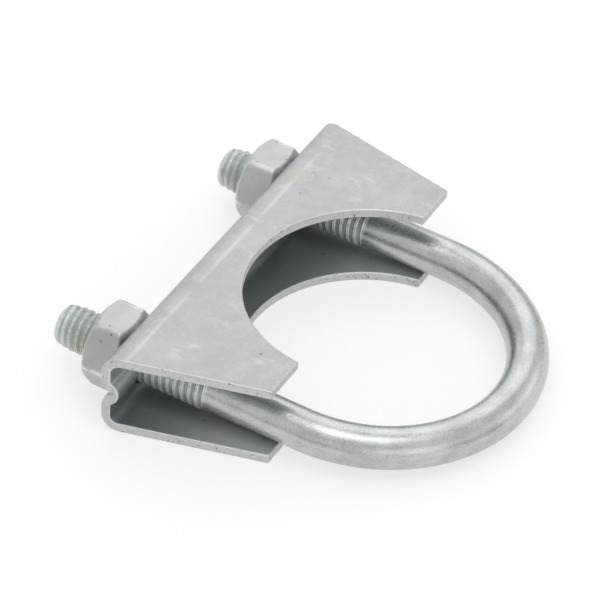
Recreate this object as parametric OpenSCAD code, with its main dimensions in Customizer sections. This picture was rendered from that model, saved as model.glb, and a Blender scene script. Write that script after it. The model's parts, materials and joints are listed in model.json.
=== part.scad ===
// U-bolt pipe clamp: a bent rod with two threaded legs, a pressed sheet saddle
// and two hex nuts. Millimetres. The pipe runs along Z through the origin, the
// legs run along X with the bend at +X, and the saddle stands level.

/* [Pipe] */
// Outside diameter of the pipe that the clamp holds
pipe_d = 47.6; // [38:0.1:60]
// Radial room between the pipe and the saddle's round seat
seat_clear = 0.5; // [0.2:0.05:0.8]
// Room between the pipe and each leg of the bolt
leg_clear = 0.47; // [0.4:0.01:1.2]

/* [Bolt] */
// Diameter of the rod that the bolt is bent from
rod_d = 8; // [6:0.1:10]
// Length of the near leg beyond its nut
near_end = 8.3; // [3:0.1:12]
// Length of the far leg beyond its nut
far_end = 6.3; // [3:0.1:12]
// Outside diameter of the thread, which is rolled and stands proud of the rod
thread_d = 8.6; // [6:0.1:10.6]
// Length of thread on each leg
thread_l = 32.8; // [22:0.1:34]
// Distance from one thread to the next
thread_pitch = 1.5; // [1:0.05:1.75]
// Chamfer on the end of each leg
end_chamfer = 1; // [0.4:0.1:1.4]
// How far the legs lie below the middle of their holes in the web
leg_drop = 1.1; // [0:0.01:1.1]
// Play of the pipe between the seat and the bend
bend_gap = 0.5; // [0.1:0.1:1]

/* [Saddle] */
// Thickness of the saddle's sheet
sheet_t = 1.9; // [1.5:0.1:2.4]
// Height of the saddle over both flanges
saddle_h = 17.3; // [15:0.1:22]
// Distance from the back of the round seat to the outer face of the web
seat_to_web = 9.2; // [7.5:0.1:14]
// Distance from the pipe's centre to the tips of the flanges
tip_x = 2.6; // [1:0.1:6]
// Width of the flat end of each flange tip
tip_w = 9.8; // [7:0.1:14]
// How far each end spreads for each millimetre from tip to web
end_flare = 0.25; // [0:0.01:0.4]
// Outside radius of the bends between web and flanges
bend_r = 3.6; // [3:0.1:4.5]
// Depth of the stiffening rib pressed into the web
rib_depth = 1.5; // [0.8:0.1:1.8]
// Width of the rib
rib_w = 6; // [5.4:0.1:7]
// Least room between each leg's thread and its hole in the web
hole_clear = 0.1; // [0.05:0.05:0.6]
// Least gap between the legs and the tips of the lower flange
tip_gap = 0.08; // [0.05:0.01:0.5]

/* [Nuts] */
// Width of each nut across its flats
nut_af = 15; // [11.5:0.1:17]
// Height of each nut
nut_h = 7.3; // [5:0.1:9]
// Radial clearance between nut and thread
nut_clear = 0.05; // [0.02:0.01:0.1]
// Gap between the web and the nearest edge of each nut
nut_gap = 0.3; // [0.1:0.1:1]

/* [Hidden] */
$fn = 96;

rod_r = rod_d / 2;
seat_r = pipe_d / 2 + seat_clear;
leg_y = pipe_d / 2 + leg_clear + rod_r;
web_x = seat_r + seat_to_web;

// Half widths of the saddle, at its tips and at its web
tip_half = sqrt(seat_r * seat_r - tip_x * tip_x) + tip_w;
web_half = tip_half + end_flare * (web_x - tip_x);

// The bend starts just past the seat. It hangs down until it rests level with the
// outside of the lower flange, or until the legs come near the tips of that
// flange, whichever is first.
bend_x = seat_clear + bend_gap;
hinge_l = web_x + bend_x;
drop_to_rest = asin((saddle_h / 2 - rod_r - leg_drop) / (hinge_l + leg_y));
drop_to_tips = atan((saddle_h / 2 - sheet_t - rod_r - leg_drop - tip_gap) / (web_x - tip_x));
droop = min(drop_to_rest, drop_to_tips);

// Thread: its depth and its two flats are shares of the pitch
depth_share = 0.6;
root_flat = 0.16;
crest_flat = 0.12;
run_out = 0.3;
end_step = 0.4;
crest_r = thread_d / 2;
root_r = crest_r - depth_share * thread_pitch;
end_r = crest_r - end_step;

// Hole for each leg: wide enough for a leg that lies low and leans through the web
hole_r = crest_r + leg_drop + sheet_t * tan(droop) + hole_clear;

// Rib: its section is four equal arcs, two on each side of the middle
rib_turn = 2 * atan(2 * rib_depth / rib_w);
rib_r = rib_w / 4 / sin(rib_turn);

// Nut: its tilt carries the top edge towards the web by nut_lean
face_share = 0.97;
mouth_flare = 0.3;
sliver = 0.01;
nut_lean = nut_af / 2 * tan(droop);
nut_seat = hinge_l + nut_lean + nut_gap;
nut_corner_r = nut_af / sqrt(3);
nut_face_r = face_share * nut_af / 2;
nut_bore_r = crest_r + nut_clear;
nut_mouth_r = crest_r + mouth_flare;
nut_outer = nut_seat + nut_h;

// Draws its children in the bolt's own plane, with the bend's centre at their
// origin and the legs along -X, and lowers the bend about the web
module bolt_plane() {
    translate([-web_x, 0, -leg_drop]) rotate([0, droop, 0]) translate([hinge_l, 0, 0]) children();
}

// Turns what is drawn along +Z to run out along a leg
module along_leg(side) {
    translate([0, side * leg_y, 0]) rotate([0, -90, 0]) children();
}

// A leg: plain shank, then one groove for each turn of the thread, then a chamfer
module leg(length) {
    start = length - thread_l;
    turns = floor((thread_l - end_chamfer) / thread_pitch);
    groove = [[root_r, root_flat / 2], [crest_r, (1 - crest_flat) / 2],
              [crest_r, (1 + crest_flat) / 2], [root_r, 1 - root_flat / 2]];
    rotate_extrude() polygon(concat(
        [[0, 0], [rod_r, 0], [rod_r, start - run_out], [root_r, start]],
        [for (i = [0 : turns - 1], g = groove) [g[0], start + (i + g[1]) * thread_pitch]],
        [[end_r, length - end_chamfer], [end_r - end_chamfer, length], [0, length]]));
}

module u_bolt() {
    color("lightsteelblue") bolt_plane() {
        rotate([0, 0, -90]) rotate_extrude(angle = 180) translate([leg_y, 0]) circle(rod_r);
        along_leg(-1) leg(nut_outer + near_end);
        along_leg(1) leg(nut_outer + far_end);
    }
}

// A stretch of sheet bent round the origin at mid-thickness radius r
module bent_sheet(r, from, to) {
    reach = 2 * (r + sheet_t);
    difference() {
        circle(r + sheet_t / 2);
        circle(r - sheet_t / 2);
        rotate(from) translate([-reach, -reach]) square([2 * reach, reach]);
        rotate(to) translate([-reach, 0]) square([2 * reach, reach]);
    }
}

// Upper half of the saddle's section: half the rib, the web, a bend and a flange
module half_section() {
    web_mid = -web_x + sheet_t / 2;
    translate([web_mid + rib_depth - rib_r, 0]) bent_sheet(rib_r, 0, rib_turn);
    translate([web_mid + rib_r, rib_w / 2]) bent_sheet(rib_r, 180, 180 + rib_turn);
    translate([-web_x, rib_w / 2]) square([sheet_t, saddle_h / 2 - bend_r - rib_w / 2]);
    translate([bend_r - web_x, saddle_h / 2 - bend_r]) bent_sheet(bend_r - sheet_t / 2, 90, 180);
    translate([bend_r - web_x, saddle_h / 2 - sheet_t]) square([web_x - bend_r - tip_x, sheet_t]);
}

module saddle() {
    color("silver") difference() {
        intersection() {
            rotate([90, 0, 0]) linear_extrude(2 * web_half + 2, center = true) {
                half_section();
                mirror([0, 1]) half_section();
            }
            linear_extrude(2 * saddle_h, center = true)
                polygon([[-tip_x, -tip_half], [-tip_x, tip_half], [-web_x - 1, web_half + end_flare],
                         [-web_x - 1, -web_half - end_flare]]);
        }
        cylinder(r = seat_r, h = 2 * saddle_h, center = true);
        for (side = [-1, 1]) translate([-web_x - 1, side * leg_y, 0]) rotate([0, 90, 0])
            cylinder(r = hole_r, h = sheet_t + rib_depth + 2);
    }
}

// A hex nut with its inner face at nut_seat, one flat up, chamfered at both ends
module nut(side) {
    rise = (nut_corner_r - nut_face_r) * tan(30);
    bolt_plane() along_leg(side) translate([0, 0, nut_seat]) difference() {
        intersection() {
            rotate(30) cylinder(r = nut_corner_r, h = nut_h, $fn = 6);
            rotate_extrude() polygon([[0, 0], [nut_face_r, 0], [nut_corner_r, rise],
                [nut_corner_r, nut_h - rise], [nut_face_r, nut_h], [0, nut_h]]);
        }
        translate([0, 0, -1]) cylinder(r = nut_bore_r, h = nut_h + 2);
        for (end = [0, 1]) translate([0, 0, end * nut_h]) mirror([0, 0, end])
            translate([0, 0, -sliver])
                cylinder(r1 = nut_mouth_r, r2 = nut_bore_r, h = nut_mouth_r - nut_bore_r);
    }
}

module near_nut() { color("gainsboro") nut(-1); }
module far_nut() { color("gainsboro") nut(1); }

u_bolt();
saddle();
near_nut();
far_nut();
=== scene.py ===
import json
import math

import bmesh
import bpy
import numpy as np
from mathutils import Matrix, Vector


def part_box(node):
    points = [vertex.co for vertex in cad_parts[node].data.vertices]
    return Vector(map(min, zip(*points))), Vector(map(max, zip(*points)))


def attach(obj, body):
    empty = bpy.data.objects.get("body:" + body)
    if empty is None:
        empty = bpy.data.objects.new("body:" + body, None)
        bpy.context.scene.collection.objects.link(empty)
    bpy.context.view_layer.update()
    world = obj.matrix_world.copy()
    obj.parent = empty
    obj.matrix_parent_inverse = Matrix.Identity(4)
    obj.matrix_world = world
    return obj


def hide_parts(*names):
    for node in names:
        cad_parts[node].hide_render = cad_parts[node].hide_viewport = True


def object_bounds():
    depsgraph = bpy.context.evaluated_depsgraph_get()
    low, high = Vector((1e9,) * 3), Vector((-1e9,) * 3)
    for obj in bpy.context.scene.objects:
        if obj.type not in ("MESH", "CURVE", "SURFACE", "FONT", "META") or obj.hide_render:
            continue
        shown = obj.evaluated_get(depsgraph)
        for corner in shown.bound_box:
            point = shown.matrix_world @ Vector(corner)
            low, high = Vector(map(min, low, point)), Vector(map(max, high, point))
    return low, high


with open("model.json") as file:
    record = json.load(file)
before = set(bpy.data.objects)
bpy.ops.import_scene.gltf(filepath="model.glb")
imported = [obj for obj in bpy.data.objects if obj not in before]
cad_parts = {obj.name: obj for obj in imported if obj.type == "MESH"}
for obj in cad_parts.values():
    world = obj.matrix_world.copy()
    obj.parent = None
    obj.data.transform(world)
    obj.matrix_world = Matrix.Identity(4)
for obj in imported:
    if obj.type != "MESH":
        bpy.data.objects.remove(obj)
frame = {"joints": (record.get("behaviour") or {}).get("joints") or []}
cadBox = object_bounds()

# A zinc-plated u-bolt pipe clamp: bent rod with rolled threads, pressed sheet saddle, two hex nuts.
# Settings are in millimetres and degrees unless a note says otherwise. Meshes are in metres, in the
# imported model's own frame.

joints = {joint["name"]: joint for joint in frame["joints"]}
mm = 0.001
mergeDistance = 1e-7    # metres
nearZero = 1e-6


def gridQuads(rows, columns, closeRows=False, closeColumns=False):
    # each quad joins a point of the grid to its neighbours one row and one column on
    index = np.arange(rows * columns).reshape(rows, columns)
    if closeColumns:
        index = np.hstack([index, index[:, :1]])
    if closeRows:
        index = np.vstack([index, index[:1]])
    corners = [index[:-1, :-1], index[1:, :-1], index[1:, 1:], index[:-1, 1:]]
    return np.stack(corners, -1).reshape(-1, 4)


def easeStep(value):
    # 3t^2 - 2t^3 of the value held between 0 and 1
    held = np.clip(value, 0, 1)
    return held * held * (3 - 2 * held)


def between(value, low, high):
    # straight rise from 0 at low to 1 at high
    return np.clip((value - low) / (high - low), 0, 1)


def makePiece(name, points, quads, attributes, sharpAngle):
    # points in metres; attributes are one number or one vector for each point;
    # edges that turn by more than sharpAngle stay sharp
    mesh = bpy.data.meshes.new(name)
    mesh.from_pydata(points.tolist(), [], quads.tolist())
    for label, values in attributes.items():
        kind, field = ("FLOAT", "value") if values.ndim == 1 else ("FLOAT_VECTOR", "vector")
        mesh.attributes.new(label, kind, "POINT").data.foreach_set(field, values.ravel())
    shell = bmesh.new()
    shell.from_mesh(mesh)
    bmesh.ops.remove_doubles(shell, verts=shell.verts, dist=mergeDistance)
    bmesh.ops.recalc_face_normals(shell, faces=shell.faces)
    shell.to_mesh(mesh)
    shell.free()
    mesh.shade_smooth()
    mesh.set_sharp_from_angle(angle=math.radians(sharpAngle))
    piece = bpy.data.objects.new(name, mesh)
    bpy.context.scene.collection.objects.link(piece)
    print("made", name, "with", len(mesh.polygons), "faces")
    return piece


class Wire:
    # wraps a socket, so that a sum, difference or product of wires and numbers adds Math nodes
    def __init__(self, paint, socket):
        self.paint = paint
        self.socket = socket

    def __add__(self, other):
        return self.paint.math("ADD", self, other)

    def __sub__(self, other):
        return self.paint.math("SUBTRACT", self, other)

    def __rsub__(self, other):
        return self.paint.math("SUBTRACT", other, self)

    def __mul__(self, other):
        return self.paint.math("MULTIPLY", self, other)

    __radd__ = __add__
    __rmul__ = __mul__


class Paint:
    # builds one node tree
    def __init__(self, tree):
        self.tree = tree
        self.tree.nodes.clear()

    def node(self, kind, settings, inputs, output=0):
        # sets a new node up, then gives each input its value or link; an output node returns nothing
        made = self.tree.nodes.new("ShaderNode" + kind)
        for label, value in settings.items():
            if label == "stops":
                self.setStops(made.color_ramp, value)
            else:
                setattr(made, label, value)
        for label, value in inputs.items():
            if isinstance(value, Wire):
                self.tree.links.new(value.socket, made.inputs[label])
            else:
                made.inputs[label].default_value = value
        return Wire(self, made.outputs[output]) if made.outputs else None

    def setStops(self, ramp, stops):
        # a new ramp has two stops, so the missing ones are added before all are placed
        while len(ramp.elements) < len(stops):
            ramp.elements.new(0.5)
        for element, (place, grey) in zip(ramp.elements, stops):
            element.position = place
            element.color = (grey, grey, grey, 1)

    def math(self, operation, first, second):
        # first and second joined by one operation on numbers
        return self.node("Math", {"operation": operation}, {0: first, 1: second})

    def noise(self, where, size, detail, harshness=0.55, stretch=None):
        # soft random pattern from 0 to 1, with features of the given size in millimetres;
        # an axis whose stretch is below 1 draws them out along it
        if stretch:
            where = self.node("Mapping", {}, {"Vector": where, "Scale": stretch})
        inputs = {"Vector": where, "Scale": 1 / (size * mm), "Detail": detail, "Roughness": harshness}
        return self.node("TexNoise", {}, inputs)

    def noises(self, where, settings):
        # one noise for each named entry
        return {label: self.noise(where, **values) for label, values in settings.items()}

    def spots(self, where, spacing):
        # distance from the nearest of scattered points, in units of their spacing
        inputs = {"Vector": where, "Scale": 1 / (spacing * mm)}
        return self.node("TexVoronoi", {}, inputs, "Distance")

    def rise(self, value, low, high):
        # 0 below low, 1 above high, smooth between; it falls instead where low is above high
        inputs = {"Value": value, "From Min": low, "From Max": high}
        if low > high:
            inputs.update({"From Min": high, "From Max": low, "To Min": 1.0, "To Max": 0.0})
        return self.node("MapRange", {"interpolation_type": "SMOOTHSTEP"}, inputs)

    def blend(self, share, first, second):
        # first where share is 0, second where it is 1; a colour Mix has its colours at inputs 6 and 7
        return self.node("Mix", {"data_type": "RGBA"}, {0: share, 6: first, 7: second}, 2)

    def cover(self, colour, tone, mask, share):
        # tone over colour, as far as mask * share
        return self.blend(mask * share, colour, tone)

    def attribute(self, label, output="Fac"):
        # what makePiece stored at each point
        return self.node("Attribute", {"attribute_name": label}, {}, output)

    def coordinates(self, kind):
        # the place on the piece, or the direction in the sky
        return self.node("TexCoord", {}, {}, kind)

    def part(self, vector, axis):
        # one of a vector's three numbers
        return self.node("SeparateXYZ", {}, {"Vector": vector}, axis)


def newPaint(name):
    # an empty tree on a new material
    material = bpy.data.materials.new(name)
    material.use_nodes = True
    return Paint(material.node_tree)


def weighed(patterns, shares):
    # the base, if there is one, plus the sum of share * pattern
    parts = [patterns[label] * share for label, share in shares.items() if label != "base"]
    return sum(parts, shares.get("base", 0.0))


def metalMaterial(name, look, patterns, colour):
    # one Principled shader; its roughness, metallic and bump height are weighed sums of the patterns
    paint = colour.paint
    bump = {"Strength": look["bump"]["strength"], "Distance": look["bump"]["depth"] * mm,
            "Height": weighed(patterns, look["height"])}
    normal = paint.node("Bump", {}, bump, "Normal")
    shader = paint.node("BsdfPrincipled", {}, {
        "Base Color": colour,
        "Roughness": weighed(patterns, look["roughness"]),
        "Metallic": weighed(patterns, look["metallic"]),
        "Normal": normal,
    })
    paint.node("OutputMaterial", {}, {"Surface": shader})
    print("made", name)
    return bpy.data.materials[name]


rod = {
    "radius": 3.99,
    "nearLeg": 50.78,      # bend centre to each leg's end
    "farLeg": 48.78,
    "threadLength": 32.8,
    "pitch": 1.5,
    "crestRise": 0.29,     # a rolled thread's crests stand this much proud of the shank
    "threadDepth": 0.66,
    "seamDepth": 0.3,      # share of the thread's depth; rolling leaves a fine seam along each crest
    "seamWidth": 0.055,    # this and the two flats are shares of the pitch
    "crestFlat": 0.26,
    "rootFlat": 0.1,
    "crestRounding": 0.5,  # 0 for straight flanks, 1 for fully rounded ones
    "runOut": 1.3,         # length over which the thread fades into the shank
    "chamfer": 1.5,
    "leadLength": 3.6,     # the first turns taper by leadTaper over this length
    "leadTaper": 0.5,
    "endDome": 0.15,
    "capShares": [0, 0.25, 0.5, 0.75, 0.93],    # rings on each end, as shares of its radius
    "grainStretch": 7,     # the grain is drawn out this much along the rod
    "rowsPerTurn": 22,
    "aroundCount": 72,
    "bendStep": 0.9,
    "sharpAngle": 50,
}

# The bolt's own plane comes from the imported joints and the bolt's box.
legAxis = np.array(joints["saddle_slide"]["axis"])
legAxis = legAxis / np.linalg.norm(legAxis)
acrossAxis = np.array([0.0, 1.0, 0.0])
liftAxis = np.cross(legAxis, acrossAxis)
nearPivot = np.array(joints["near_nut_turn"]["pos_m"])
farPivot = np.array(joints["far_nut_turn"]["pos_m"])
nutMiddle = (nearPivot + farPivot) / 2
bendRadius = (farPivot[1] - nearPivot[1]) / 2
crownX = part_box("u_bolt")[1].x - rod["radius"] * mm
bendCentre = nutMiddle + legAxis * ((crownX - bendRadius * legAxis[0] - nutMiddle[0]) / legAxis[0])


def inBoltPlane(origin, along, across, lift):
    # origin plus the three distances along the bolt's own axes, all in metres
    inPlane = along[..., None] * legAxis + across[..., None] * acrossAxis
    return origin + inPlane + lift[..., None] * liftAxis


def threadRidge(turns):
    # 1 on the crests and 0 in the roots, once for each whole turn; the flanks are part straight slope and
    # part 3t^2 - 2t^3 of it, and a bell curve e^(-t^2) is taken off for the seam on each crest
    crestFlat, rootFlat, rounding = rod["crestFlat"], rod["rootFlat"], rod["crestRounding"]
    fromCrest = np.abs(turns % 1 - 0.5)
    ramp = np.clip(1 - (fromCrest - crestFlat / 2) / ((1 - crestFlat - rootFlat) / 2), 0, 1)
    seam = rod["seamDepth"] * np.exp(-(fromCrest / rod["seamWidth"]) ** 2)
    return ramp * (1 - rounding) + easeStep(ramp) * rounding - seam


def uBoltPiece():
    # a circle carried along leg, half circle and leg; its radius is the lesser of the thread's and the
    # end's, and the thread's phase is length / pitch + angle / one turn, right-handed on both legs
    radius = rod["radius"]
    bend = bendRadius / mm
    total = rod["nearLeg"] + math.pi * bend + rod["farLeg"]
    threaded = rod["threadLength"] + rod["pitch"]
    legSteps = np.arange(rod["endDome"], threaded, rod["pitch"] / rod["rowsPerTurn"])
    plainCount = int((total - 2 * threaded) / rod["bendStep"])
    plainSteps = np.linspace(threaded, total - threaded, plainCount)
    capShare = np.array(rod["capShares"])
    length = np.concatenate([rod["endDome"] * capShare ** 2, legSteps, plainSteps,
                             total - legSteps[::-1], total - rod["endDome"] * capShare[::-1] ** 2])
    bodyCount = len(length) - 2 * len(capShare)
    share = np.concatenate([capShare, np.ones(bodyCount), capShare[::-1]])[:, None]
    angle = np.arange(rod["aroundCount"]) * 2 * math.pi / rod["aroundCount"]
    s, theta = np.meshgrid(length, angle, indexing="ij")

    fromEnd = np.minimum(s, total - s)
    ridge = threadRidge(s / rod["pitch"] + theta / (2 * math.pi))
    inThread = easeStep((rod["threadLength"] - fromEnd) / rod["runOut"])
    groove = inThread * (1 - ridge)
    lead = rod["leadTaper"] * np.clip(1 - fromEnd / rod["leadLength"], 0, 1)
    bare = radius + inThread * rod["crestRise"] - groove * rod["threadDepth"] - lead * ridge
    # the end is halfway between a straight chamfer and a quarter round
    toChamfer = np.clip(1 - fromEnd / rod["chamfer"], 0, 1)
    cone = radius + rod["crestRise"] - rod["chamfer"] * (toChamfer + 1 - np.sqrt(1 - toChamfer ** 2)) / 2
    r = np.minimum(bare, cone) * share

    nearStraight = np.maximum(rod["nearLeg"] - s, 0)
    farStraight = np.maximum(s - rod["nearLeg"] - math.pi * bend, 0)
    turn = np.clip((s - rod["nearLeg"]) / bend, 0, math.pi)
    outwards = bend + r * np.cos(theta)
    along = outwards * np.sin(turn) - nearStraight - farStraight
    across = -outwards * np.cos(turn)
    points = inBoltPlane(bendCentre, along * mm, across * mm, r * np.sin(theta) * mm)
    # the metal's grain: round the rod at its true size, along it drawn out
    grain = np.stack([radius * np.cos(theta), radius * np.sin(theta), s / rod["grainStretch"]], -1) * mm
    attributes = {"groove": groove.ravel(), "inThread": inThread.ravel(), "grain": grain.reshape(-1, 3)}
    quads = gridQuads(*s.shape, closeColumns=True)
    return makePiece("uBolt", points.reshape(-1, 3), quads, attributes, rod["sharpAngle"])


saddle = {
    "thickness": 1.9,
    "height": 17.3,
    "webFace": 33.5,       # pipe's centre to the web's outer face
    "tipEdge": 2.6,        # pipe's centre to the flange tips
    "seatRadius": 24.3,
    "tipWidth": 9.8,
    "flare": 0.25,         # each end spreads this much for each millimetre from tip to web
    "bendRadius": 3.6,
    "ribDepth": 1.5,
    "ribWidth": 6.0,
    "holeRadius": 5.6,
    "holeSides": 48,
    "edgeRound": 0.28,
    "edgeRings": [0, 0.12, 0.42, 1, 1.5],   # rings inside the outline, as multiples of edgeRound
    "wearAndHighlightReach": 1.5,                       # edge wear and its painted highlight fade over this many times edgeRound
    "webTips": 0.92,       # share of the web's half width that faces the seat's arc
    "tipColumns": 11,
    "seatColumns": 90,
    "flangeRows": 26,
    "bendRows": 12,
    "webRows": 3,
    "ribRows": 9,
    "pathSteps": 6001,
    "sharpAngle": 40,
}


def saddleSection():
    # turning angle against length along the sheet's middle, from the upper flange's edge to the lower's;
    # the rib is four arcs of ribTurn each
    halfSheet = saddle["thickness"] / 2
    flange = saddle["webFace"] - saddle["bendRadius"] - saddle["tipEdge"]
    bend = (saddle["bendRadius"] - halfSheet) * math.pi / 2
    web = saddle["height"] / 2 - saddle["bendRadius"] - saddle["ribWidth"] / 2
    ribTurn = 2 * math.atan(2 * saddle["ribDepth"] / saddle["ribWidth"])
    ribArc = saddle["ribWidth"] / 4 / math.sin(ribTurn) * ribTurn
    lengths = [flange, bend, web, ribArc, ribArc, ribArc, ribArc, web, bend, flange]
    turns = [0, math.pi / 2, 0, ribTurn, -ribTurn, -ribTurn, ribTurn, 0, math.pi / 2, 0]
    stations = np.concatenate([[0], np.cumsum(lengths)])
    headings = math.pi + np.concatenate([[0], np.cumsum(turns)])
    return stations, headings


sectionStations, sectionHeadings = saddleSection()


def bentPlace(s, y, offset):
    # runs along the section by small steps of length * (cos, sin) of the heading, then out by offset
    fine = np.linspace(0, sectionStations[-1], saddle["pathSteps"])
    heading = np.interp(fine, sectionStations, sectionHeadings)
    middle = (heading[1:] + heading[:-1]) / 2
    step = fine[1] - fine[0]
    x = np.concatenate([[0], np.cumsum(np.cos(middle) * step)]) - saddle["tipEdge"]
    z = np.concatenate([[0], np.cumsum(np.sin(middle) * step)])
    z = z + (saddle["height"] - saddle["thickness"]) / 2
    here = np.interp(s, sectionStations, sectionHeadings)
    return np.stack([np.interp(s, fine, x) + np.sin(here) * offset, y,
                     np.interp(s, fine, z) - np.cos(here) * offset], -1)


def halfWidth(x, inset):
    # half the blank's width at x from the pipe's centre: a straight line that flares, set in square to it
    seatEdge = math.sqrt(saddle["seatRadius"] ** 2 - saddle["tipEdge"] ** 2)
    slope = saddle["flare"]
    return seatEdge + saddle["tipWidth"] + slope * (x - saddle["tipEdge"]) - inset * math.hypot(1, slope)


def freeEdge(column, inset):
    # plan x and y of a flange's edge, set in from the outline: tip flat, arc of the seat, tip flat
    tips, seats = saddle["tipColumns"], saddle["seatColumns"]
    tipX = saddle["tipEdge"] + inset
    seatRadius = saddle["seatRadius"] + inset
    corner = np.sqrt(seatRadius ** 2 - tipX ** 2)
    side = np.where(column < tips + seats / 2, -1.0, 1.0)
    fromEnd = np.minimum(column, 2 * tips + seats - column)
    tipShare = np.clip(fromEnd / tips, 0, 1)
    arcShare = np.clip((column - tips) / seats, 0, 1)
    swing = np.arctan2(corner, tipX) * (2 * arcShare - 1)
    onArc = fromEnd >= tips
    outer = halfWidth(tipX, inset)
    x = np.where(onArc, seatRadius * np.cos(swing), tipX)
    y = np.where(onArc, seatRadius * np.sin(swing), side * (outer + (corner - outer) * tipShare))
    return x, y


def saddlePiece():
    # the blank's flanges are ruled straight from their free edge to the bend line, and its rows run on over
    # bends, web and rib; near the outline each face comes in by e - sqrt(e^2 - t^2), where e is edgeRound
    # and t is e less the distance to the outline
    edge = saddle["edgeRound"]
    insets = np.array(saddle["edgeRings"]) * edge
    rings = len(insets) - 1
    flange = sectionStations[1]
    # rows in each stretch of the section: flange, bend, web, two arcs of the rib, and back
    counts = [saddle["flangeRows"], saddle["bendRows"], saddle["webRows"]] + [saddle["ribRows"]] * 2
    stretches = zip(sectionStations[:-1], sectionStations[1:], counts + counts[::-1])
    rowLengths = [np.linspace(start, end, count + 1)[1:] for start, end, count in stretches]
    rowLength = np.concatenate([[0]] + rowLengths)
    rowCount = len(rowLength)
    columnCount = 2 * saddle["tipColumns"] + saddle["seatColumns"] + 1
    i, j = np.meshgrid(np.arange(rowCount + 2 * rings), np.arange(columnCount + 2 * rings), indexing="ij")
    fromEdge = np.minimum(np.minimum(i, i.max() - i), np.minimum(j, j.max() - j))
    inset = insets[np.minimum(fromEdge, rings)]
    row = np.clip(i - rings, 0, rowCount - 1)
    column = np.clip(j - rings, 0, columnCount - 1).astype(float)

    # the lower half mirrors the upper one
    s = rowLength[row]
    lower = s > sectionStations[-1] / 2
    mirrored = np.where(lower, sectionStations[-1] - s, s)
    edgeX, edgeY = freeEdge(column, inset)
    along = np.clip(mirrored / flange, 0, 1)
    planEdge = edgeX - saddle["tipEdge"]
    sheet = np.where(mirrored < flange, planEdge + (flange - planEdge) * along, mirrored)
    s = np.where(lower, sectionStations[-1] - sheet, sheet)
    # the arc's columns spread evenly over the web between the two tips' columns
    webTips = saddle["webTips"]
    webShare = np.interp(column, [0, saddle["tipColumns"], columnCount - 1 - saddle["tipColumns"],
                                  columnCount - 1], [-1, -webTips, webTips, 1])
    bent = bentPlace(s, np.zeros_like(s), np.zeros_like(s))
    wide = halfWidth(-bent[..., 0], inset)
    bendLine = halfWidth(saddle["tipEdge"] + flange, inset)
    y = np.where(mirrored < flange, edgeY * (1 - along) + bendLine * webShare * along, wide * webShare)

    half = saddle["thickness"] / 2
    rounding = np.clip(1 - inset / edge, 0, 1)
    offset = half - edge + edge * np.sqrt(1 - rounding ** 2)
    outer = bentPlace(s, y, offset)
    inner = bentPlace(s, y, -offset)
    size = s.size
    quads = gridQuads(*s.shape)
    index = np.arange(size).reshape(s.shape)
    loop = np.concatenate([index[0, :-1], index[:-1, -1], index[-1, :0:-1], index[:0:-1, 0]])
    onward = np.roll(loop, -1)
    rim = np.stack([loop, onward, onward + size, loop + size], -1)
    allQuads = np.concatenate([quads, quads[:, ::-1] + size, rim])
    points = np.concatenate([outer.reshape(-1, 3), inner.reshape(-1, 3)]) * mm
    # edge wear and painted highlight, strongest at the outline and fading inwards
    wear = np.tile(np.clip(1 - inset / (saddle["wearAndHighlightReach"] * edge), 0, 1).ravel(), 2)
    cut = np.tile(np.where(fromEdge == 0, 1.0, 0.0).ravel(), 2)
    inside = np.concatenate([np.zeros(size), np.ones(size)])
    attributes = {"wear": wear, "cut": cut, "inside": inside}
    return drilled(makePiece("saddleSheet", points, allQuads, attributes, saddle["sharpAngle"]))


def drilled(blank):
    # takes a level cylinder of holeRadius out of the web for each leg, at mid height, as far out as the leg
    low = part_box("saddle")[0]
    reach = (saddle["thickness"] + saddle["ribDepth"]) * 2 * mm
    angle = np.arange(saddle["holeSides"]) * 2 * math.pi / saddle["holeSides"]
    for side in (-1, 1):
        radius = np.array([0, saddle["holeRadius"], saddle["holeRadius"], 0])[:, None] * mm
        x = low.x + np.array([-reach, -reach, reach, reach])[:, None] + 0 * angle
        y = radius * np.cos(angle) + side * bendRadius
        z = radius * np.sin(angle)
        points = np.stack([x, y, z], -1).reshape(-1, 3)
        quads = gridQuads(*x.shape, closeColumns=True)
        cutter = makePiece("holeCutter", points, quads, {}, saddle["sharpAngle"])
        cutting = blank.modifiers.new("hole", "BOOLEAN")
        cutting.object = cutter
        cutting.solver = "EXACT"
        bpy.context.view_layer.update()
        whole = blank.evaluated_get(bpy.context.evaluated_depsgraph_get())
        mesh = bpy.data.meshes.new_from_object(whole)
        blank.modifiers.clear()
        blank.data = mesh
        bpy.data.objects.remove(cutter)
    blank.data.set_sharp_from_angle(angle=math.radians(saddle["sharpAngle"]))
    return blank


nut = {
    "acrossFlats": 14.98,
    "height": 7.29,
    "faceShare": 0.915,    # chamfer circle on each end face, as a share of half the width across flats
    "chamferAngle": 33,
    "cornerPower": 46,     # higher is sharper, here and in edgePower
    "edgePower": 60,
    "boreRadius": 4.3,
    "mouthRadius": 4.75,
    "sideSpan": (0.95, 0.98),       # corners are worn and carry a painted highlight where the radius is past these shares of the hexagon
    "cornerSpan": (1.105, 1.13),    # and the hexagon past these shares of half the width across flats
    "edgeSpan": (0.5, 1.6),         # wear and painted highlight on the chamfers grow over the first depth, fade by the second
    "sideRows": 34,
    "faceRows": 6,
    "boreRows": 4,
    "aroundCount": 180,
    "sharpAngle": 42,
}


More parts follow.
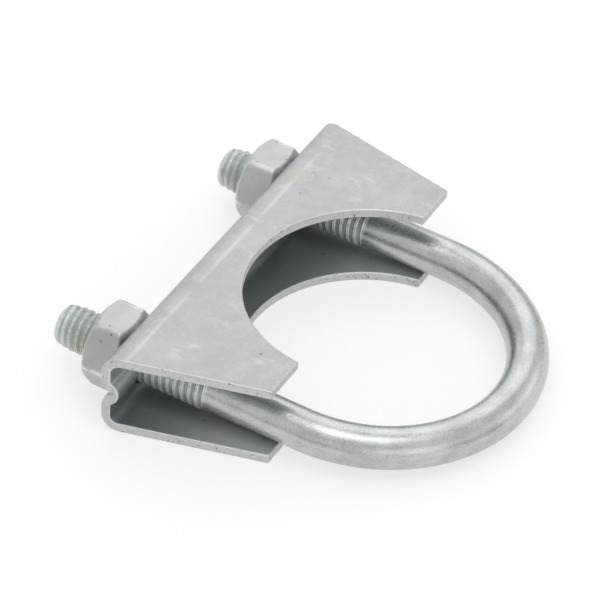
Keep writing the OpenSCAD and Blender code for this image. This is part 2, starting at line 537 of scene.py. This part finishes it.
def nutPiece(name, pivot):
    # the hexagon's radius is apothem * (sum over the flats of cos^p)^(-1/p); at each height the side is the
    # smaller of it and the end cones' radius, as (a^-p + b^-p)^(-1/p), so every ridge is slightly round
    theta = np.arange(nut["aroundCount"]) * 2 * math.pi / nut["aroundCount"]
    flats = np.arange(6) * math.pi / 3
    facing = np.maximum(np.cos(theta[:, None] - flats), nearZero)
    apothem = nut["acrossFlats"] / 2
    hexagon = apothem * np.sum(facing ** nut["cornerPower"], 1) ** (-1 / nut["cornerPower"])
    faceRadius = apothem * nut["faceShare"]
    half = nut["height"] / 2
    # rows crowd towards both ends, where the chamfer is
    height = half * np.sin(np.linspace(-1, 1, nut["sideRows"]) * math.pi / 2)
    toEnd = half - np.abs(height)
    cone = faceRadius + toEnd / math.tan(math.radians(nut["chamferAngle"]))
    power = nut["edgePower"]
    sideRadius = (hexagon[None] ** -power + cone[:, None] ** -power) ** (-1 / power)
    inward = np.linspace(1, 0, nut["faceRows"])[1:, None]
    topFace = nut["mouthRadius"] + (sideRadius[-1:] - nut["mouthRadius"]) * inward
    bottomFace = nut["mouthRadius"] + (sideRadius[:1] - nut["mouthRadius"]) * inward[::-1]
    sink = nut["mouthRadius"] - nut["boreRadius"]
    bore = np.linspace(half - sink, sink - half, nut["boreRows"])
    boreRadius = np.full((len(bore), len(theta)), nut["boreRadius"])
    radius = np.concatenate([sideRadius, topFace, boreRadius, bottomFace])
    level = np.concatenate([height, np.full(len(topFace), half), bore, np.full(len(bottomFace), -half)])
    level = level[:, None] + 0 * theta
    # angles run round the leg's axis from the flat that faces up
    points = inBoltPlane(pivot, level * mm, -radius * np.sin(theta) * mm, radius * np.cos(theta) * mm)
    onSide = between(radius / hexagon, *nut["sideSpan"])
    corner = between(hexagon / apothem, *nut["cornerSpan"]) * onSide
    depth = hexagon - radius
    grow, fade = nut["edgeSpan"]
    onEdge = np.clip(depth / grow, 0, 1) * np.clip(1 - depth / fade, 0, 1)
    # wear and painted highlight on the corners and chamfer edges
    attributes = {"wear": np.maximum(corner, onEdge).ravel(),
                  "endFace": (np.abs(level) >= half - nearZero).astype(float).ravel()}
    quads = gridQuads(*radius.shape, closeRows=True, closeColumns=True)
    return makePiece(name, points.reshape(-1, 3), quads, attributes, nut["sharpAngle"])


# In the three looks below a noise's size is in millimetres, a span runs from where a pattern starts to
# show to where it shows fully, and a share is how far a tone covers what is under it.

rodLook = {
    "bright": (0.56, 0.58, 0.57, 1),
    "dull": (0.43, 0.455, 0.445, 1),
    "shade": (0.17, 0.195, 0.185, 1),
    "threadTone": (0.64, 0.68, 0.655, 1),
    # painted shade for the thread's roots
    "paintedRootShadeTone": (0.30, 0.33, 0.315, 1),
    "stain": (0.52, 0.45, 0.32, 1),
    "noises": {
        "cloud": {"size": 6, "detail": 4},
        "speckle": {"size": 0.42, "detail": 4, "harshness": 0.75},
        "fleck": {"size": 0.25, "detail": 2, "harshness": 0.6},
        "ripple": {"size": 1.2, "detail": 4, "harshness": 0.7},
        "stains": {"size": 13, "detail": 2},
    },
    "streak": {"size": 0.8, "detail": 5, "harshness": 0.65},    # along the rod's grain
    "toneSpan": (0.42, 0.57),
    "speckSpan": (0.58, 0.74),
    "paintedRootShadeSpan": (0.4, 1.0),
    "stainSpan": (0.56, 0.68),
    "threadShare": 0.8,
    "speckShare": 0.42,
    "paintedRootShadeShare": 0.6,
    "stainShare": 0.32,
    "tone": {"cloud": 0.35, "streak": 0.25, "speckle": 0.4},
    "roughness": {"base": 0.13, "streak": 0.1, "speckle": 0.22, "groove": 0.1},
    "metallic": {"base": 1, "specks": -0.35, "inThread": -0.3},
    "height": {"streak": 0.3, "ripple": 0.8, "speckle": 0.6, "fleck": 0.2},
    "bump": {"strength": 0.55, "depth": 0.06},
}


def rodMaterial():
    # cloud, streak and speckle move it between dull and bright; worn specks darken it, painted shade
    # darkens the thread's roots, and a warm stain lies in patches
    look = rodLook
    paint = newPaint("rodZinc")
    patterns = paint.noises(paint.coordinates("Object"), look["noises"])
    patterns["streak"] = paint.noise(paint.attribute("grain", "Vector"), **look["streak"])
    patterns["groove"] = paint.attribute("groove")
    patterns["inThread"] = paint.attribute("inThread")
    patterns["specks"] = paint.rise(patterns["speckle"], *look["speckSpan"])
    tone = paint.rise(weighed(patterns, look["tone"]), *look["toneSpan"])
    paintedRootShade = paint.rise(patterns["groove"], *look["paintedRootShadeSpan"])
    stains = paint.rise(patterns["stains"], *look["stainSpan"])
    colour = paint.blend(tone, look["dull"], look["bright"])
    colour = paint.cover(colour, look["threadTone"], patterns["inThread"], look["threadShare"])
    colour = paint.cover(colour, look["shade"], patterns["specks"], look["speckShare"])
    # painted shade in the thread's roots, deepest where the groove is
    colour = paint.cover(colour, look["paintedRootShadeTone"], paintedRootShade, look["paintedRootShadeShare"])
    colour = paint.cover(colour, look["stain"], stains, look["stainShare"])
    return metalMaterial("rodZinc", look, patterns, colour)


sheetLook = {
    "bright": (0.455, 0.457, 0.463, 1),
    "dull": (0.375, 0.38, 0.387, 1),
    "shade": (0.17, 0.18, 0.185, 1),
    "cutTone": (0.56, 0.565, 0.56, 1),
    "rust": (0.16, 0.13, 0.10, 1),
    # also the painted highlight along the edges
    "burrAndHighlightTone": (0.68, 0.68, 0.68, 1),
    # painted light and painted shade for the inside of the channel
    "insidePaintedLightTone": (0.56, 0.60, 0.61, 1),
    "deepPaintedShadeTone": (0.27, 0.30, 0.31, 1),
    "markTone": (0.58, 0.565, 0.53, 1),
    "markRim": (0.33, 0.31, 0.28, 1),
    "noises": {
        "cloud": {"size": 10, "detail": 3},
        "patch": {"size": 2.6, "detail": 4, "harshness": 0.65},
        "rolled": {"size": 1.1, "detail": 4, "harshness": 0.6, "stretch": (1.0, 0.12, 1.0)},
        "speckle": {"size": 0.5, "detail": 3, "harshness": 0.7},
        "sheared": {"size": 0.6, "detail": 3, "harshness": 0.7, "stretch": (1.0, 1.0, 0.25)},
        "scuff": {"size": 2.6, "detail": 4, "harshness": 0.7, "stretch": (0.5, 1.0, 1.0)},
        "nick": {"size": 0.9, "detail": 3, "harshness": 0.7},
    },
    "toneSpan": (0.38, 0.64),
    "scuffSpan": (0.54, 0.72),
    "streakSpan": (0.5, 0.72),      # rolling streaks inside the channel
    "tearSpan": (0.55, 0.7),        # torn part of the sheared sides
    "burrHighlightSpan": (0.15, 0.8),
    "nickedSpan": (0.3, 0.9),
    "nickSpan": (0.60, 0.68),
    "deepShadeSpan": (-9, -27),          # painted shade: inside the channel it darkens along X, and from the upper flange down
    "deepShadeDrop": (4, -4),
    "pitSpacing": 5.5,
    "pitSpan": (0.075, 0.04),
    "markCentre": (-28.6, 23.3, 8.65),
    "markRadius": 2.9,
    "markRagged": 3.2,
    "markEdge": 0.5,
    "markNoise": {"size": 1.6, "detail": 4},
    "creaseAt": -28.9,              # a faint bright line beside the upper bend
    "creaseWidths": (0.7, 0.05),
    "creaseLevels": (8, 8.4),
    "creaseSpan": (0.36, 0.56),
    "creaseShare": 0.35,
    "scuffShare": 0.3,
    "channelShadingShare": 0.9,
    "streakShare": 0.4,
    "pitShare": 0.55,
    "markShare": 0.4,
    "rimShare": 0.2,
    "cutShare": 0.8,
    "tearShare": 0.35,
    "burrHighlightShare": 0.8,
    "nickShare": 0.75,
    "tone": {"cloud": 0.35, "patch": 0.3, "rolled": 0.1, "speckle": 0.25},
    "roughness": {"base": 0.30, "cloud": 0.06, "speckle": 0.10, "cut": 0.14, "mark": 0.1},
    "metallic": {"base": 1, "cut": -0.4, "inside": -0.25},
    "height": {"cloud": 0.6, "rolled": 0.3, "speckle": 0.25, "cutGrain": 0.8, "crease": 0.5,
               "pits": -0.8, "nicks": -0.8, "rim": -0.5},
    "bump": {"strength": 0.3, "depth": 0.05},
}


def rubbedMark(paint, place):
    # a pale round spot on the upper flange and its rim: distance from its centre, bent a little by noise
    look = sheetLook
    centre = tuple(length * mm for length in look["markCentre"])
    reach = paint.node("VectorMath", {"operation": "DISTANCE"}, {0: place, 1: centre}, "Value")
    ragged = reach + (paint.noise(place, **look["markNoise"]) - 0.5) * (look["markRagged"] * mm)
    radius = look["markRadius"] * mm
    inner = paint.rise(ragged, radius, radius - look["markEdge"] * mm)
    outer = paint.rise(ragged, radius + look["markEdge"] * mm, radius)
    return inner, outer - inner


def creaseLine(paint, along, level, cloud):
    # a broken thin line across the upper flange, where the distance from creaseAt is near 0
    look = sheetLook
    off = paint.node("Math", {"operation": "ABSOLUTE"}, {0: along - look["creaseAt"] * mm})
    line = paint.rise(off, *(width * mm for width in look["creaseWidths"]))
    onTop = paint.rise(level, *(height * mm for height in look["creaseLevels"]))
    return line * onTop * paint.rise(cloud, *look["creaseSpan"])


def sheetMaterial():
    # clouds, patches and rolling streaks move it between dull and bright; over that lie scuffs, painted
    # light and shade in the channel, pits, the rubbed mark, the sheared sides, and a burr with a painted
    # highlight and rusty nicks along the edges
    look = sheetLook
    paint = newPaint("sheetZinc")
    place = paint.coordinates("Object")
    along = paint.part(place, "X")
    level = paint.part(place, "Z")
    wear = paint.attribute("wear")
    cut = paint.attribute("cut")
    inside = paint.attribute("inside")
    patterns = paint.noises(place, look["noises"])
    patterns.update({"cut": cut, "inside": inside, "cutGrain": cut * patterns["sheared"]})
    patterns["crease"] = creaseLine(paint, along, level, patterns["cloud"])
    patterns["pits"] = paint.rise(paint.spots(place, look["pitSpacing"]), *look["pitSpan"])
    patterns["mark"], patterns["rim"] = rubbedMark(paint, place)
    nicked = paint.rise(wear, *look["nickedSpan"])
    patterns["nicks"] = nicked * paint.rise(patterns["nick"], *look["nickSpan"])

    tone = paint.rise(weighed(patterns, look["tone"]), *look["toneSpan"])
    colour = paint.blend(tone, look["dull"], look["bright"])
    colour = paint.cover(colour, look["burrAndHighlightTone"], patterns["crease"], look["creaseShare"])
    scuffs = paint.rise(patterns["scuff"], *look["scuffSpan"])
    colour = paint.cover(colour, look["burrAndHighlightTone"], scuffs, look["scuffShare"])
    # painted light and shade in the channel: a lighter tone for light reflected in, darker towards the web
    # and down to the lower flange
    deepPaintedShade = paint.rise(along, *(length * mm for length in look["deepShadeSpan"]))
    deepPaintedShade = deepPaintedShade * paint.rise(level, *(height * mm for height in look["deepShadeDrop"]))
    channelShading = paint.blend(deepPaintedShade, look["insidePaintedLightTone"], look["deepPaintedShadeTone"])
    colour = paint.cover(colour, channelShading, inside, look["channelShadingShare"])
    streaks = inside * paint.rise(patterns["rolled"], *look["streakSpan"])
    colour = paint.cover(colour, look["dull"], streaks, look["streakShare"])
    colour = paint.cover(colour, look["shade"], patterns["pits"], look["pitShare"])
    colour = paint.cover(colour, look["markTone"], patterns["mark"], look["markShare"])
    colour = paint.cover(colour, look["markRim"], patterns["rim"], look["rimShare"])
    colour = paint.cover(colour, look["cutTone"], cut, look["cutShare"])
    tears = cut * paint.rise(patterns["sheared"], *look["tearSpan"])
    colour = paint.cover(colour, look["shade"], tears, look["tearShare"])
    # painted highlight along the outline's edges, over the burr's real wear
    burrAndHighlight = paint.rise(wear, *look["burrHighlightSpan"]) * (1 - cut)
    colour = paint.cover(colour, look["burrAndHighlightTone"], burrAndHighlight, look["burrHighlightShare"])
    colour = paint.cover(colour, look["rust"], patterns["nicks"], look["nickShare"])
    return metalMaterial("sheetZinc", look, patterns, colour)


nutLook = {
    "bright": (0.52, 0.52, 0.52, 1),
    "dull": (0.45, 0.455, 0.46, 1),
    "shade": (0.11, 0.115, 0.115, 1),
    # painted highlight on the worn corners and chamfer edges
    "edgeWearHighlightTone": (0.86, 0.86, 0.85, 1),
    "noises": {
        "cloud": {"size": 5, "detail": 3},
        "speckle": {"size": 0.5, "detail": 3, "harshness": 0.7},
        "pitted": {"size": 4, "detail": 1},
    },
    "toneSpan": (0.38, 0.62),
    "pitSpacing": 1.5,
    "pitSpan": (0.2, 0.1),
    "pittedSpan": (0.52, 0.6),      # pits come only where this noise is high
    "wornHighlightSpan": (0.32, 0.55),
    "pitShare": 0.8,
    "edgeWearHighlightShare": 0.65,
    "tone": {"cloud": 0.7, "speckle": 0.3},
    "roughness": {"base": 0.34, "cloud": 0.10, "speckle": 0.08, "endFace": 0.08},
    "metallic": {"base": 1, "pits": -0.5},
    "height": {"cloud": 0.5, "speckle": 0.3, "pits": -1.2},
    "bump": {"strength": 0.28, "depth": 0.04},
}


def nutMaterial():
    # cloud and speckle move it between dull and bright; dark pits lie in a few places, and the corners and
    # chamfer edges are worn bright in patches, partly real wear and partly painted highlight
    look = nutLook
    paint = newPaint("nutZinc")
    place = paint.coordinates("Object")
    patterns = paint.noises(place, look["noises"])
    patterns["endFace"] = paint.attribute("endFace")
    dots = paint.rise(paint.spots(place, look["pitSpacing"]), *look["pitSpan"])
    patterns["pits"] = dots * paint.rise(patterns["pitted"], *look["pittedSpan"])
    # worn corners and chamfer edges, partly real wear and partly painted highlight
    wornEdgeHighlight = paint.attribute("wear") * paint.rise(patterns["cloud"], *look["wornHighlightSpan"])
    tone = paint.rise(weighed(patterns, look["tone"]), *look["toneSpan"])
    colour = paint.blend(tone, look["dull"], look["bright"])
    colour = paint.cover(colour, look["shade"], patterns["pits"], look["pitShare"])
    colour = paint.cover(colour, look["edgeWearHighlightTone"], wornEdgeHighlight, look["edgeWearHighlightShare"])
    return metalMaterial("nutZinc", look, patterns, colour)


bolt = uBoltPiece()
bolt.data.materials.append(rodMaterial())
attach(bolt, "u_bolt")
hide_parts("u_bolt")

sheet = saddlePiece()
sheet.data.materials.clear()
sheet.data.materials.append(sheetMaterial())
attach(sheet, "saddle")
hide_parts("saddle")

nutPaint = nutMaterial()
for label, pivot in (("near_nut", nearPivot), ("far_nut", farPivot)):
    made = nutPiece(label.split("_")[0] + "Nut", pivot)
    made.data.materials.append(nutPaint)
    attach(made, label)
    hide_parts(label)
print("pieces placed")


studio = {
    "floorSize": 6.0,      # metres
    "floorPoints": 9,
    "floorColour": (0.36, 0.36, 0.36, 1),
    "floorRoughness": 0.9,
    "floorShine": 0.1,
    "floorGlow": 0.78,
    "skyStops": [(0.0, 0.16), (0.05, 0.20), (0.12, 0.82), (0.32, 1.12), (0.62, 1.0), (1.0, 1.1)],
    "skyStrength": 1.0,
    "exposure": -0.33,
    # distances and sizes in metres
    "panels": {
        "topPanel": {"azimuth": 20, "elevation": 80, "distance": 1.0, "size": 0.55, "brightness": 2.2},
        "backPanel": {"azimuth": 200, "elevation": 45, "distance": 1.2, "size": 0.9, "brightness": 0.9},
        "lowPanel": {"azimuth": 228, "elevation": 6, "distance": 1.4, "size": 0.9, "brightness": 0.8},
        "rightPanel": {"azimuth": 135, "elevation": 6, "distance": 1.4, "size": 1.1, "brightness": 0.7},
        "frontPanel": {"azimuth": 50, "elevation": 5, "distance": 1.4, "size": 1.2, "brightness": 0.8},
    },
}

view = {
    "azimuth": 27.19,
    "elevation": 40.08,
    "roll": 3.01,
    "distance": 723.5,
    "right": -13.38,
    "up": 5.29,
    "lens": 234.73,
    "sensor": 36.0,
    "nearClip": 10,
}


def floorPiece():
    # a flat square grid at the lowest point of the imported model, pale and softly glowing
    size, count = studio["floorSize"], studio["floorPoints"]
    steps = np.linspace(-size / 2, size / 2, count)
    x, y = np.meshgrid(steps, steps, indexing="ij")
    points = np.stack([x, y, 0 * x + cadBox[0].z], -1).reshape(-1, 3)
    mesh = bpy.data.meshes.new("floor")
    mesh.from_pydata(points.tolist(), [], gridQuads(count, count).tolist())
    floor = bpy.data.objects.new("floor", mesh)
    bpy.context.scene.collection.objects.link(floor)
    paint = newPaint("floorPale")
    shader = paint.node("BsdfPrincipled", {}, {
        "Base Color": studio["floorColour"],
        "Roughness": studio["floorRoughness"],
        "Specular IOR Level": studio["floorShine"],
        "Emission Color": (1, 1, 1, 1),
        "Emission Strength": studio["floorGlow"],
    })
    paint.node("OutputMaterial", {}, {"Surface": shader})
    mesh.materials.append(bpy.data.materials["floorPale"])


def skyLight():
    # grey level against the height of the direction looked in: dim at the horizon, bright above
    world = bpy.data.worlds.new("studio")
    world.use_nodes = True
    bpy.context.scene.world = world
    paint = Paint(world.node_tree)
    height = paint.part(paint.coordinates("Generated"), "Z")
    level = paint.node("ValToRGB", {"stops": studio["skyStops"]}, {"Fac": height})
    glow = paint.node("Background", {}, {"Color": level, "Strength": studio["skyStrength"]})
    paint.node("OutputWorld", {}, {"Surface": glow})


def direction(azimuth, elevation):
    # unit vector at an azimuth from -Y round towards +X, raised by the elevation, both in radians
    flat = math.cos(elevation)
    return np.array([math.sin(azimuth) * flat, -math.cos(azimuth) * flat, math.sin(elevation)])


def softBox(name, azimuth, elevation, distance, size, brightness):
    # a square panel facing the origin; its power is brightness * pi * area
    a, e = math.radians(azimuth), math.radians(elevation)
    light = bpy.data.lights.new(name, "AREA")
    light.shape = "SQUARE"
    light.size = size
    light.energy = brightness * math.pi * size * size
    panel = bpy.data.objects.new(name, light)
    panel.location = direction(a, e) * distance
    panel.rotation_euler = (math.pi / 2 - e, 0, a)
    bpy.context.scene.collection.objects.link(panel)


def addCamera():
    # looks along -b from distance * b, moved by right and up in its own plane after the roll
    a, e, roll = (math.radians(view[k]) for k in ("azimuth", "elevation", "roll"))
    back = direction(a, e)
    right = np.array([math.cos(a), math.sin(a), 0])
    up = np.cross(back, right)
    rolledRight = math.cos(roll) * right + math.sin(roll) * up
    rolledUp = math.cos(roll) * up - math.sin(roll) * right
    place = (view["distance"] * back + view["right"] * rolledRight + view["up"] * rolledUp) * mm
    data = bpy.data.cameras.new("camera")
    data.lens = view["lens"]
    data.sensor_width = view["sensor"]
    data.clip_start = view["nearClip"] * mm
    camera = bpy.data.objects.new("camera", data)
    matrix = np.eye(4)
    matrix[:3] = np.stack([rolledRight, rolledUp, back, place], 1)
    camera.matrix_world = Matrix(matrix.tolist())
    bpy.context.scene.collection.objects.link(camera)
    bpy.context.scene.camera = camera


floorPiece()
skyLight()
for label, panel in studio["panels"].items():
    softBox(label, **panel)
addCamera()
bpy.context.scene.view_settings.view_transform = "Standard"
bpy.context.scene.view_settings.exposure = studio["exposure"]
print("floor, light and camera placed")
